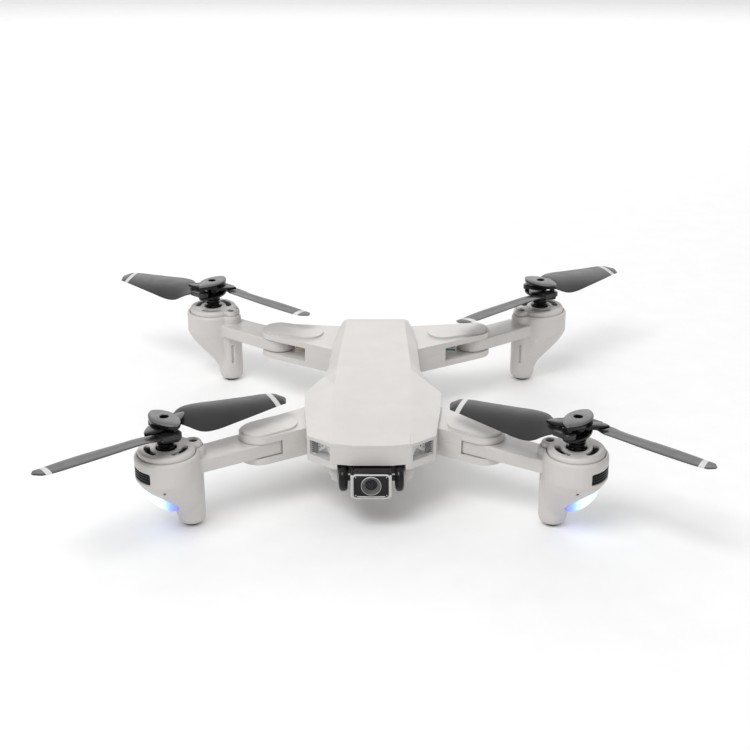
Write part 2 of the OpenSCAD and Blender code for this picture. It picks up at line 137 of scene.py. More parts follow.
def plastic(name, dark, light, rough, grain=2600, strength=0.25, worn=None, specular=0.5):
    """Moulded plastic: spark-eroded grain, slow colour drift, uneven sheen, rubbed edges."""
    mat, tree, shader = new_material(name)
    drift = gradient(tree, noise(tree, 55, 3).outputs["Fac"], (0.32, dark), (0.68, light))
    if worn:
        edge_wear(tree, shader, drift, worn, 0.5)
    else:
        tree.links.new(drift, shader.inputs["Base Color"])
    sheen = spread(tree, noise(tree, 160, 5).outputs["Fac"], *rough)
    tree.links.new(sheen, shader.inputs["Roughness"])
    bump(tree, shader, noise(tree, grain, 2, 0.5).outputs["Fac"], strength, 0.00005)
    shader.inputs["Specular IOR Level"].default_value = specular
    return mat


def metal(name, dark, light, rough, grain=1800, strength=0.15, stretch=(1, 1, 1)):
    mat, tree, shader = new_material(name)
    shader.inputs["Metallic"].default_value = 1.0
    tone = gradient(tree, noise(tree, 240, 4).outputs["Fac"], (0.32, dark), (0.68, light))
    tree.links.new(tone, shader.inputs["Base Color"])
    sheen = spread(tree, noise(tree, 600, 5, 0.6, stretch).outputs["Fac"], *rough)
    tree.links.new(sheen, shader.inputs["Roughness"])
    bump(tree, shader, noise(tree, grain, 2, 0.5, stretch).outputs["Fac"], strength, 0.00004)
    return mat


def clear(name, tone, rough, ior, alpha):
    """Clear moulding or glass with faint waviness."""
    mat, tree, shader = new_material(name)
    faint = [c * 0.96 for c in tone]
    tint = gradient(tree, noise(tree, 90, 2).outputs["Fac"], (0.3, faint), (0.7, tone))
    tree.links.new(tint, shader.inputs["Base Color"])
    shader.inputs["Alpha"].default_value = alpha
    shader.inputs["Roughness"].default_value = rough
    shader.inputs["IOR"].default_value = ior
    bump(tree, shader, noise(tree, 420, 2).outputs["Fac"], 0.12, 0.00005)
    return mat


def led_material():
    """Milky lens lit from inside: cyan-white at its outer end, violet near the leg."""
    mat, tree, shader = new_material("led_lens_lit")
    coord = tree.nodes.new("ShaderNodeTexCoord")
    part = tree.nodes.new("ShaderNodeSeparateXYZ")
    tree.links.new(coord.outputs["Object"], part.inputs["Vector"])
    along = spread(tree, part.outputs["X"], 0, 1, (-0.014, 0.003))
    glow = gradient(tree, along, (0.0, (0.62, 0.9, 1.0)), (0.35, (0.72, 0.92, 1.0)),
                    (0.7, (0.25, 0.42, 1.0)), (1.0, (0.2, 0.12, 1.0)))
    tree.links.new(glow, shader.inputs["Base Color"])
    tree.links.new(glow, shader.inputs["Emission Color"])
    shader.inputs["Emission Strength"].default_value = 0.62
    rough = spread(tree, noise(tree, 400, 4).outputs["Fac"], 0.2, 0.32)
    tree.links.new(rough, shader.inputs["Roughness"])
    bump(tree, shader, noise(tree, 900, 2).outputs["Fac"], 0.1, 0.00005)
    return mat


SHELL = plastic("shell_grey", (0.572, 0.55, 0.531), (0.602, 0.58, 0.56), (0.4, 0.5), 2600,
                0.22, (0.66, 0.645, 0.625))
PROP = plastic("prop_charcoal", (0.011, 0.0105, 0.0115), (0.016, 0.0155, 0.0165), (0.28, 0.38),
               2200, 0.3)
BAND = plastic("prop_band_silver", (0.52, 0.52, 0.51), (0.6, 0.6, 0.59), (0.3, 0.4), 2200, 0.2)
HUB = plastic("hub_satin_black", (0.07, 0.069, 0.067), (0.1, 0.098, 0.096), (0.34, 0.46), 1500,
              0.15, specular=0.8)
GLOSS = plastic("gloss_black", (0.004, 0.004, 0.0045), (0.008, 0.008, 0.0085), (0.07, 0.15),
                900, 0.05, specular=0.28)
MATT = plastic("matt_black", (0.012, 0.012, 0.013), (0.02, 0.02, 0.021), (0.5, 0.65), 2000,
               0.25, (0.05, 0.05, 0.05))
RUBBER = plastic("rubber_black", (0.01, 0.01, 0.01), (0.018, 0.018, 0.018), (0.7, 0.85), 1500,
                 0.4)
SILVER = plastic("camera_silver", (0.42, 0.42, 0.41), (0.5, 0.5, 0.49), (0.26, 0.36), 2400,
                 0.15, (0.65, 0.65, 0.64))
STEEL = metal("turned_steel", (0.45, 0.45, 0.46), (0.62, 0.62, 0.63), (0.25, 0.4))
BLACK_STEEL = metal("black_oxide_steel", (0.03, 0.03, 0.032), (0.06, 0.06, 0.062), (0.35, 0.5))
REFLECTOR = plastic("lamp_reflector", (0.66, 0.66, 0.65), (0.74, 0.74, 0.73), (0.22, 0.32), 900,
                    0.1, specular=0.9)
COPPER = metal("copper_windings", (0.42, 0.2, 0.09), (0.6, 0.3, 0.14), (0.3, 0.45), 2400, 0.4,
               (1, 1, 6))
CLEAR = clear("lamp_clear", (0.7, 0.71, 0.72), 0.06, 1.49, 0.12)
GLASS = clear("lens_glass", (0.02, 0.02, 0.03), 0.03, 1.5, 0.3)
BOARD = plastic("board_green", (0.01, 0.075, 0.04), (0.02, 0.11, 0.06), (0.25, 0.4), 700)
TEAL = plastic("wire_teal", (0.03, 0.2, 0.2), (0.05, 0.27, 0.27), (0.4, 0.5), 900)
BROWN = plastic("wire_brown", (0.2, 0.11, 0.06), (0.27, 0.15, 0.09), (0.4, 0.5), 900)
BEIGE = plastic("wire_beige", (0.5, 0.42, 0.33), (0.58, 0.5, 0.4), (0.4, 0.5), 900)
LED = led_material()
FINISH = {"shell": SHELL, "prop": PROP, "hub": HUB, "dark": MATT, "steel": STEEL,
          "screw": BLACK_STEEL, "clear": CLEAR, "reflector": REFLECTOR, "led": LED,
          "lens": GLOSS, "board": BOARD, "copper": COPPER, "wire": TEAL, "foot": RUBBER}


# ------------------------------------------------------------------- geometry

def polar(radius, degrees, x=0.0, y=0.0):
    a = math.radians(degrees)
    return (x + radius * math.cos(a), y + radius * math.sin(a))


def loft(rings):
    """A closed solid through rings of equal length, counter-clockwise and rising."""
    bm = bmesh.new()
    rows = [[bm.verts.new(p) for p in ring] for ring in rings]
    count = len(rings[0])
    bm.faces.new(rows[0][::-1])
    bm.faces.new(rows[-1])
    for low, high in zip(rows, rows[1:]):
        for k in range(count):
            n = (k + 1) % count
            bm.faces.new((low[k], low[n], high[n], high[k]))
    return bm


def lathe(profile, x=0.0, y=0.0, count=72):
    """A solid of revolution about a vertical axis; the profile is (radius, z), rising."""
    return loft([[(*polar(r, 360 * k / count, x, y), z) for k in range(count)]
                 for r, z in profile])


def rod(p, q, r, count=32):
    """A round bar from p to q."""
    p, q = Vector(p), Vector(q)
    turn = (q - p).to_track_quat("Z", "Y")
    return loft([[tuple(end + turn @ Vector((*polar(r, 360 * k / count), 0)))
                  for k in range(count)] for end in (p, q)])


def inset(outline, d):
    """A counter-clockwise outline moved inwards by d."""
    made = []
    for k, point in enumerate(outline):
        before, after = Vector(outline[k - 1]), Vector(outline[(k + 1) % len(outline)])
        point = Vector(point)
        a, b = (point - before).normalized(), (after - point).normalized()
        na, nb = Vector((-a.y, a.x)), Vector((-b.y, b.x))
        made.append(tuple(point + (na + nb) * (d / max(1 + na.dot(nb), 0.3))))
    return made


def prism(outline, levels):
    """A solid over a flat outline; levels are (z, inset), rising."""
    return loft([[(*p, z) for p in (inset(outline, d) if d else outline)]
                 for z, d in levels])


def block(x1, x2, y1, y2, z1, z2, soft=0.0):
    outline = [(x1, y1), (x2, y1), (x2, y2), (x1, y2)]
    if not soft:
        return prism(outline, [(z1, 0), (z2, 0)])
    return prism(outline, [(z1, soft), (z1 + soft, 0), (z2 - soft, 0), (z2, soft)])


def rotation(degrees, axis):
    return Matrix.Rotation(math.radians(degrees), 4, axis)


def turned(bm, matrix):
    bmesh.ops.transform(bm, matrix=matrix, verts=bm.verts)
    return bm


def to_object(name, bm):
    """A millimetre bmesh as an object in metres."""
    bmesh.ops.scale(bm, vec=(MM, MM, MM), verts=bm.verts)
    mesh = bpy.data.meshes.new(name)
    bm.to_mesh(mesh)
    bm.free()
    obj = bpy.data.objects.new(name, mesh)
    bpy.context.scene.collection.objects.link(obj)
    return obj


def bake(obj):
    """Replaces the object's mesh by what its modifiers make of it."""
    made = bpy.data.meshes.new_from_object(
        obj.evaluated_get(bpy.context.evaluated_depsgraph_get()))
    obj.modifiers.clear()
    obj.data = made
    obj.data.name = obj.name
    return obj


def combine(obj, bm, operation):
    """Applies one boolean to an object and bakes it."""
    tool = to_object("tool", bm)
    step = obj.modifiers.new("boolean", "BOOLEAN")
    step.object, step.operation, step.solver = tool, operation, "EXACT"
    bake(obj)
    bpy.data.objects.remove(tool)


def carve(name, parts, cuts=(), voxel=0.0, smooth=0):
    """Joins parts and takes cuts away; with a voxel size, every edge comes out moulded."""
    obj = to_object(name, parts[0])
    tools = [(to_object("tool", p), "UNION") for p in parts[1:]]
    tools += [(to_object("tool", c), "DIFFERENCE") for c in cuts]
    for tool, operation in tools:
        step = obj.modifiers.new("boolean", "BOOLEAN")
        step.object, step.operation, step.solver = tool, operation, "EXACT"
    bake(obj)
    for tool, _ in tools:
        bpy.data.objects.remove(tool)
    if voxel:
        step = obj.modifiers.new("remesh", "REMESH")
        step.mode, step.voxel_size = "VOXEL", voxel * MM
        step.use_smooth_shade = True
        if smooth:
            step = obj.modifiers.new("smooth", "SMOOTH")
            step.factor, step.iterations = 0.5, smooth
        bake(obj)
    return obj


def shade(obj, angle=None):
    """Smooth shading, with creases kept above an angle in degrees."""
    bm = bmesh.new()
    bm.from_mesh(obj.data)
    for face in bm.faces:
        face.smooth = True
    for edge in bm.edges:
        edge.smooth = not (angle and len(edge.link_faces) == 2
                           and edge.calc_face_angle(0) > math.radians(angle))
    bm.to_mesh(obj.data)
    bm.free()
    return obj


def finish_piece(obj, body, node, slot, *materials, place=None):
    """Places a piece, paints it, and lets it ride on its body for its CAD node."""
    if place is not None:
        obj.matrix_world = place
    faces = obj.data.polygons
    painted = [face.material_index for face in faces]
    obj.data.materials.clear()
    for m in materials or [FINISH[slot]]:
        obj.data.materials.append(m)
    faces.foreach_set("material_index", painted)
    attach(obj, body)
    if node:
        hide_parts(node)
    return obj


def copy_of(obj, name):
    other = bpy.data.objects.new(name, obj.data.copy())
    bpy.context.scene.collection.objects.link(other)
    return other


def spot(joint):
    return Vector(joints[joint]["pos_m"])


def heading(v):
    return math.atan2(v.y, v.x)


class Corner:
    """Where one arm and its rotor stand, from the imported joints."""

    def __init__(self, index):
        self.name = PLACES[index]
        self.side = (-1, 1, -1, 1)[index]
        self.front = index < 2
        motor = spot("rotor_spin_" + self.name)
        hinge = spot("arm_fold_" + self.name)
        self.motor = Vector((motor.x, motor.y, 0))
        self.hinge = Vector((hinge.x, hinge.y, 0))
        self.reach = (self.hinge - self.motor).length / MM
        self.turn = heading(self.hinge - self.motor)
        pivot = spot("blade_a_fold_" + self.name)
        self.blade_turn = heading(pivot - motor) - math.pi / 2
        self.spin = 1 if index in (0, 3) else -1
        self.leg = FRONT_LEG if self.front else REAR_LEG

    def arm_place(self):
        return Matrix.Translation(self.motor) @ Matrix.Rotation(self.turn, 4, "Z")

    def rotor_place(self, half_turn=False):
        angle = self.blade_turn + (math.pi if half_turn else 0)
        return Matrix.Translation(self.motor) @ Matrix.Rotation(angle, 4, "Z")


CORNERS = [Corner(k) for k in range(4)]


# ----------------------------------------------------------------- arm and pod

def pod_radius(t, leg):
    """Centre and radius of the pod's section, from the leg at t 0 to the housing at t 1."""
    share = t * t * (3 - 2 * t)
    return (1 - share) * (leg - 1.2), 6.8 + share * 10.25


def pod_blend(leg, grow=0.0):
    rings = []
    for k in range(25):
        centre, radius = pod_radius(k / 24, leg)
        rings.append([(*polar(radius + grow, 5 * n, centre), 6 + 28 * k / 24)
                      for n in range(72)])
    return loft(rings)


def led_block(shrink):
    """Rounded slab square to the sloping underside of a front pod. Shrinking makes its outline
    smaller and the slab thicker, by the same amount."""
    outline = [polar(6.5 - shrink, a, 4.5) for a in range(-90, 91, 15)]
    outline += [polar(6.5 - shrink, a, -4.5) for a in range(90, 271, 15)]
    slab = prism(outline, [(-3.2 - shrink, 0), (2.6 + shrink, 0)])
    return turned(slab, Matrix.Translation(LED_CENTRE) @ rotation(LED_LEAN, "Y"))


def band(r1, r2, z1, z2, half_angle):
    """A curved bar round the pod axis, centred on the outward direction."""
    angles = [180 - half_angle + 2 * half_angle * k / 22 for k in range(23)]
    outline = [polar(r2, a) for a in angles] + [polar(r1, a) for a in reversed(angles)]
    return prism(outline, [(z1, 0), (z2, 0)])


def arc_slot(middle, z1, z2):
    """A curved slot through a motor cap, with round ends; middle is its heading."""
    low, high = middle - 28, middle + 28
    centre, half = 10, 1.7
    outline = [polar(centre + half, a) for a in range(int(low), int(high) + 1, 4)]
    end = polar(centre, high)
    outline += [polar(half, high + a, *end) for a in (30, 60, 90, 120, 150)]
    outline += [polar(centre - half, a) for a in range(int(high), int(low) - 1, -4)]
    end = polar(centre, low)
    outline += [polar(half, low + a, *end) for a in (-150, -120, -90, -60, -30)]
    return prism(outline, [(z1, 0), (z2, 0)])


def rim(pod, tab, levels):
    """A solid on the outline of a pod and its screw tab; levels are (z, inset)."""
    outline = []
    for n in range(144):
        a = math.radians(2.5 * n)
        side = tab * tab - (SCREW_TAB * math.sin(a)) ** 2
        meets = side > 0 and math.cos(a) > 0
        reach = SCREW_TAB * math.cos(a) + math.sqrt(side) if meets else 0
        outline.append((a, (pod ** 22 + reach ** 22) ** (1 / 22)))
    return loft([[((r - d) * math.cos(a), (r - d) * math.sin(a), z) for a, r in outline]
                 for z, d in levels])


def arm_mesh(corner):
    """Motor pod, landing leg and folding beam of a left corner as one moulding."""
    reach, leg = corner.reach, corner.leg
    beam = [(6, -8.6), (reach, -9.8), (reach, 9.8), (6, 8.6)]
    shoulder = ((32, 0), (43.6, 0), (44.5, 0.2), (45.2, 0.6), (45.6, 1.1), (45.7, 1.4))
    parts = [
        pod_blend(leg),
        lathe([(4.4, 1.2), (6.0, 1.7), (7.2, 3.1), (7.7, 5.4), (7.7, 34)], leg),
        rim(17.2, 6.2, shoulder),
        prism(beam, [(ARM_LOW, 0.45), (32.45, 0), (39.45, 0), (ARM_HIGH, 0.55)]),
        lathe([(9.35, ARM_LOW), (9.8, 32.45), (9.8, 39.45), (9.25, ARM_HIGH)], reach),
    ]
    cuts = [
        lathe([(13.4, 34), (13.4, 47)]),
        rim(15.5, 4.84, ((43.5, 0), (47, 0))),
        lathe([(2.05, 30), (2.05, 42)], reach),
        lathe([(3.9, 0), (3.9, 3)], leg, count=40),
    ]
    if corner.front:
        # The block behind the hinge is drawn square to the body, then turned into the arm.
        turn = -corner.turn
        outline = []
        for x, y in [(0, 0), (5.3, -8.23), (12.6, -3.74), (12.6, -0.5), (8.5, 4.9)]:
            outline.append((reach + x * math.cos(turn) - y * math.sin(turn),
                            x * math.sin(turn) + y * math.cos(turn)))
        parts.append(prism(outline, [(ARM_LOW, 0.3), (32.3, 0), (39.6, 0), (ARM_HIGH, 0.4)]))
        cuts.append(band(16.3, 18.5, 33.2, 39.5, 33))
        cuts.append(led_block(0.12))
        mouth, outside = polar(12.5, -122), polar(17.5, -122)
        cuts.append(rod((*mouth, 28), (*outside, 28), 0.85, 16))
    else:
        for a in (-38, 38):
            slot = block(6.1, 9.7, -0.6, 0.6, 13, 26)
            cuts.append(turned(slot, Matrix.Translation((leg, 0, 0)) @ rotation(a, "Z")))
    return carve("arm", parts, cuts, voxel=0.42, smooth=3)


def cap_mesh(corner):
    """Motor cap with a rolled shoulder, three curved slots and a screw well."""
    parts = [rim(15.2, 4.6, ((43.5, 0), (46.3, 0), (47.3, 0.2), (48.0, 0.6), (48.4, 1.3)))]
    cuts = [lathe([(13, 43), (13, 46.9)]),
            lathe([(5.5, 43), (5.5, 47.9), (6.0, 48.6)]),
            lathe([(1.1, 43), (1.1, 49)], SCREW_TAB, count=32),
            lathe([(2.2, 46.2), (2.2, 47.9), (2.7, 48.6)], SCREW_TAB, count=32)]
    first = (90 if corner.front else 30) - math.degrees(corner.turn)
    cuts += [arc_slot(first + 120 * k, 44, 50) for k in range(3)]
    return carve("motor_cap", parts, cuts, voxel=0.24, smooth=2)


def led_mesh(corner):
    """Milky lens that bulges a little out of the pod's underside."""
    lens = carve("led", [pod_blend(corner.leg, 0.9)])
    combine(lens, led_block(0.0), "INTERSECT")
    arch = [(0.001, -1)] + [(math.cos(math.radians(a)), math.sin(math.radians(a)))
                            for a in range(-84, 85, 6)] + [(0.001, 1)]
    half_axes = Matrix.Diagonal((10.6, 6.2, 3.5, 1))
    belly = turned(lathe(arch), Matrix.Translation(LED_CENTRE) @ rotation(LED_LEAN, "Y")
                   @ half_axes)
    combine(lens, belly, "UNION")
    step = lens.modifiers.new("remesh", "REMESH")
    step.mode, step.voxel_size = "VOXEL", 0.35 * MM
    step = lens.modifiers.new("smooth", "SMOOTH")
    step.factor, step.iterations = 0.5, 6
    return bake(lens)


def vent_mesh():
    """Black strip with four raised ribs round the outer side of a front pod."""
    ribs = [band(15.7, 16.75, 33.35, 39.35, 32.8)]
    ribs += [band(16.2, 17.15, z, z + 0.55, 32.6) for z in (33.9, 35.35, 36.8, 38.25)]
    return shade(carve("vent", ribs), 30)


def arm_pieces(corner):
    """The pieces of one left arm: (mesh, name, CAD node, slot, materials)."""
    made = [(shade(arm_mesh(corner)), "arm_shell_", "arm_", "shell", (SHELL,)),
            (shade(cap_mesh(corner)), "motor_cap_shell_", "motor_cap_", "shell", (SHELL,))]
    if corner.front:
        made.append((shade(led_mesh(corner)), "led_lens_lit_", "led_lens_", "led", (LED,)))
        made.append((vent_mesh(), "vent_grille_", "vent_", "dark", (GLOSS,)))
    return made


# Each right arm is the mirror image of the left one, and PLACES names the left one first.
left_hand = {}
for corner in CORNERS:
    if corner.side < 0:
        left_hand[corner.front] = arm_pieces(corner)
    for model, label, node, slot, materials in left_hand[corner.front]:
        piece = copy_of(model, label + corner.name)
        if corner.side > 0:
            piece.data.transform(Matrix.Scale(-1, 4, (0, 1, 0)))
            piece.data.flip_normals()
        finish_piece(piece, "arm_" + corner.name, node + corner.name, slot, *materials,
                     place=corner.arm_place())
for pieces in left_hand.values():
    for model, *_ in pieces:
        bpy.data.objects.remove(model)


# --------------------------------------------------------------------- rotors

def lens_radius(theta, half_len, half_width):
    """Distance from the centre to a pointed lens outline along Y, its tips rounded."""
    big = (half_len ** 2 + half_width ** 2) / (2 * half_width)
    back = big - half_width
    d = abs(math.cos(theta)) * back
    edge = -d + math.sqrt(d * d + big * big - back * back)
    return (edge ** -9 + (0.97 * half_len) ** -9) ** (-1 / 9)


def lens_plate(half_len, half_width, levels, hole=0.0, count=96):
    """A lens-shaped plate; levels are (z, share of the outline), rising. A hole in its
    middle is sunk from the top and closed below."""
    rings = []
    angles = [2 * math.pi * k / count for k in range(count)]
    for z, share in levels:
        rings.append([(share * lens_radius(a, half_len, half_width) * math.cos(a),
                       share * lens_radius(a, half_len, half_width) * math.sin(a), z)
                      for a in angles])
    if hole:
        top = levels[-1][0]
        for r, z in ((hole + 0.35, top + 0.02), (hole, top - 0.3), (hole, top - 2.4)):
            rings.append([(r * math.cos(a), r * math.sin(a), z) for a in angles])
    return loft(rings)


def hub_mesh():
    """Turned collar and ribbed neck, lens-shaped carrier plates and the two blade pins."""
    neck = [(4.6, 43.9), (5, 44.3), (5, 49.2), (4.7, 49.6), (4.0, 49.8), (4.0, 50.5)]
    for k in range(3):
        z = 50.6 + 1.7 * k
        neck += [(4.45, z), (4.7, z + 0.2), (4.7, z + 0.7), (4.45, z + 0.9), (4.0, z + 1.1),
                 (4.0, z + 1.6)]
    parts = [lathe(neck + [(4.0, 61)]),
             lens_plate(14.2, 7, [(55.4, 0.93), (55.7, 0.985), (56, 1), (56.8, 1),
                                  (57.1, 0.985), (57.2, 0.95)]),
             turned(lens_plate(17.9, 5.6, [(60.7, 0.95), (60.85, 0.99), (61.0, 1), (62.1, 1),
                                           (62.3, 0.985), (62.4, 0.95)]),
                    rotation(-70, "Z"))]
    parts += [lathe([(1.5, 57), (1.5, 62.2)], y=PIVOT * s, count=32) for s in (-1, 1)]
    for k in range(8):
        x, y = polar(4.9, 45 * k + 20)
        parts.append(lathe([(0.55, 44.4), (0.55, 49.2)], x, y, 16))
    return shade(carve("hub", parts), 32)


def hub_cap_mesh():
    """Domed lens-shaped cap with a round recess. Its upward top faces are painted lighter satin grey as a painted
    sheen; the rest is gloss black.
    """
    dome = [(62.5, 0.93), (62.6, 0.975), (62.9, 1), (64.5, 1), (64.8, 0.992), (65.05, 0.97),
            (65.3, 0.93), (65.5, 0.87), (65.68, 0.78), (65.82, 0.66), (65.92, 0.54),
            (65.95, 0.45)]
    cap = shade(carve("hub_cap", [lens_plate(14.25, 7, dome, hole=2.4)]), 40)
    # Painted sheen: faces turned up on the dome's top take the lighter satin finish, the others gloss black.
    for face in cap.data.polygons:
        face.material_index = 0 if face.normal.z > 0.3 and face.center.z > 64.6 * MM else 1
    return cap


# Sections along a blade: distance out, place of the middle line, reach of the leading and of
# the trailing edge from it, share of the full pitch, thickness.
STATIONS = [
    (7, -1.2, 3.2, 3.2, 0, 2.6), (11, -2.8, 4.8, 6.8, 0.4, 2.2),
    (17, -4.6, 8.6, 12.0, 0.9, 1.8), (25, -5.6, 9.6, 13.2, 1, 1.5),
    (40, -7.0, 8.8, 11.8, 0.83, 1.3), (56, -8.4, 7.6, 9.6, 0.66, 1.1),
    (68, -9.3, 6.6, 7.6, 0.55, 0.9), (74, -9.9, 4.6, 6.6, 0.5, 0.8),
    (76.4, -10.3, 1.6, 5.0, 0.5, 0.6)]


def eased(x, column):
    """A blade dimension at distance x, along a smooth curve through the stations."""
    rows = STATIONS
    k = max(n for n in range(len(rows) - 1) if rows[n][0] <= x or n == 0)
    a, b = rows[k], rows[k + 1]
    before, after = rows[max(k - 1, 0)], rows[min(k + 2, len(rows) - 1)]
    width = b[0] - a[0]
    t = (x - a[0]) / width
    ma = (b[column] - before[column]) / max(b[0] - before[0], 1e-6) * width
    mb = (after[column] - a[column]) / max(after[0] - a[0], 1e-6) * width
    return ((2 * t ** 3 - 3 * t ** 2 + 1) * a[column] + (t ** 3 - 2 * t ** 2 + t) * ma
            + (3 * t ** 2 - 2 * t ** 3) * b[column] + (t ** 3 - t ** 2) * mb)


def blade_mesh(spin):
    """Twisted and cambered blade with its root pad and pivot boss."""
    rings = []
    for k in range(49):
        x = 7 + 69.4 * math.sin(math.pi / 2 * k / 48) ** 1.15 if k else 7.0
        middle, lead, trail, pitch, thick = (eased(x, c) for c in range(1, 6))
        tip = min(1.0, (76.9 - x) / 3.2)
        squeeze = math.sqrt(max(tip, 0.02)) if tip < 1 else 1.0
        slope = math.tan(math.radians(18 * pitch))
        chord = (lead + trail) * squeeze
        nose = lead - (lead + trail) * (1 - squeeze) * 0.35
        z = 59 - x / 24
        ring = []
        for n in range(28):
            a = 2 * math.pi * n / 28
            share = 0.5 - 0.5 * math.cos(a)
            half = thick / 2 * (1.35 * math.sqrt(max(share, 0)) * (1 - share) + 0.28 *
                                (1 - share) * share * 4 + 0.06)
            camber = 0.05 * chord * 4 * share * (1 - share) * min(pitch, 1)
            chordwise = nose - share * chord
            height = z + chordwise * slope + camber + (half if math.sin(a) >= 0 else -half)
            if abs(math.sin(a)) < 1e-6:
                height = z + chordwise * slope + camber
            ring.append((x * 76 / 77, PIVOT + (middle + spin * chordwise), height))
        rings.append(ring)
    bm = loft(rings)
    if spin < 0:
        bmesh.ops.reverse_faces(bm, faces=bm.faces)
    bmesh.ops.recalc_face_normals(bm, faces=bm.faces)
    pad = [(0, -3.4 + PIVOT), (8.5, -4.7 + PIVOT), (8.5, 12), (0, 13.4)]
    parts = [bm,
             lathe([(2.6, 57.5), (2.8, 57.7), (2.8, 60.55)], y=PIVOT, count=40),
             lathe([(3.3, 57.5), (3.6, 57.8), (3.6, 60.0), (3.3, 60.3)], y=PIVOT, count=48),
             prism(pad, [(57.5, 0.3), (57.8, 0), (60.0, 0), (60.3, 0.3)])]
    bore = lathe([(1.55, 57), (1.55, 61)], y=PIVOT, count=32)
    blade = carve("blade", parts, [bore])
    bm = bmesh.new()
    bm.from_mesh(blade.data)
    aim = Vector((1, -0.16 * spin, 0))
    for d in BLADE_BAND:
        bmesh.ops.bisect_plane(bm, geom=bm.verts[:] + bm.edges[:] + bm.faces[:],
                               plane_co=aim * (d * MM / aim.dot(aim)), plane_no=aim)
    for face in bm.faces:
        along = face.calc_center_median().dot(aim) / MM
        face.material_index = 1 if BLADE_BAND[0] < along < BLADE_BAND[1] else 0
    bm.to_mesh(blade.data)
    bm.free()
    return shade(blade, 38)


hub_model, cap_model = hub_mesh(), hub_cap_mesh()
blade_models = {s: blade_mesh(s) for s in (1, -1)}
for corner in CORNERS:
    name, place = corner.name, corner.rotor_place()
    hub = copy_of(hub_model, "hub_body_" + name)
    finish_piece(hub, "rotor_" + name, "hub_" + name, "hub", GLOSS, place=place)
    cap = copy_of(cap_model, "hub_cap_domed_" + name)
    finish_piece(cap, "rotor_" + name, "hub_cap_" + name, "hub", HUB, GLOSS, place=place)
    for letter in "ab":
        node = f"blade_{letter}_{name}"
        blade = copy_of(blade_models[corner.spin], f"{node}_airfoil")
        blade.data.transform(corner.rotor_place(letter == "b"))
        finish_piece(blade, node, node, "prop", PROP, BAND)
for model in (hub_model, cap_model, *blade_models.values()):
    bpy.data.objects.remove(model)


# --------------------------------------------------------------------- camera

def facing(bm):
    """Turns a solid of revolution made about Z so that its top faces the nose, -Y."""
    return turned(bm, rotation(90, "X"))


def rounded_rect(x1, x2, z1, z2, r, steps=6):
    """Outline of a rectangle with round corners of radius r."""
    spots = [(x2 - r, z1 + r, -90), (x2 - r, z2 - r, 0), (x1 + r, z2 - r, 90),
             (x1 + r, z1 + r, 180)]
    return [polar(r, a + 90 * k / steps, x, z) for x, z, a in spots for k in range(steps + 1)]


def at_camera(bm):
    """Moves a shape made about the origin, facing -Y, to the camera's tilt axis."""
    axis = spot("camera_tilt") / MM
    return turned(bm, Matrix.Translation((0, axis.y, axis.z)))


def side_profile(half, front, r):
    """Side view of the camera head about its tilt axis: (forward, up), as a closed outline."""
    outline = [polar(half, a) for a in range(90, 271, 9)]
    outline += [polar(r, a, front - r, -half + r) for a in range(-90, 1, 15)]
    outline += [polar(r, a, front - r, half - r) for a in range(0, 91, 15)]
    return outline


def across(outline, x1, x2, soft):
    """Extrudes a (forward, up) outline sideways, with both rims rounded."""
    bm = prism(outline, [(x1, soft), (x1 + 0.3 * soft, 0.3 * soft), (x1 + soft, 0),
                         (x2 - soft, 0), (x2 - 0.3 * soft, 0.3 * soft), (x2, soft)])
    bmesh.ops.reverse_faces(bm, faces=bm.faces)
    swap = Matrix(((0, 0, 1, 0), (-1, 0, 0, 0), (0, 1, 0, 0), (0, 0, 0, 1)))
    return turned(bm, swap)


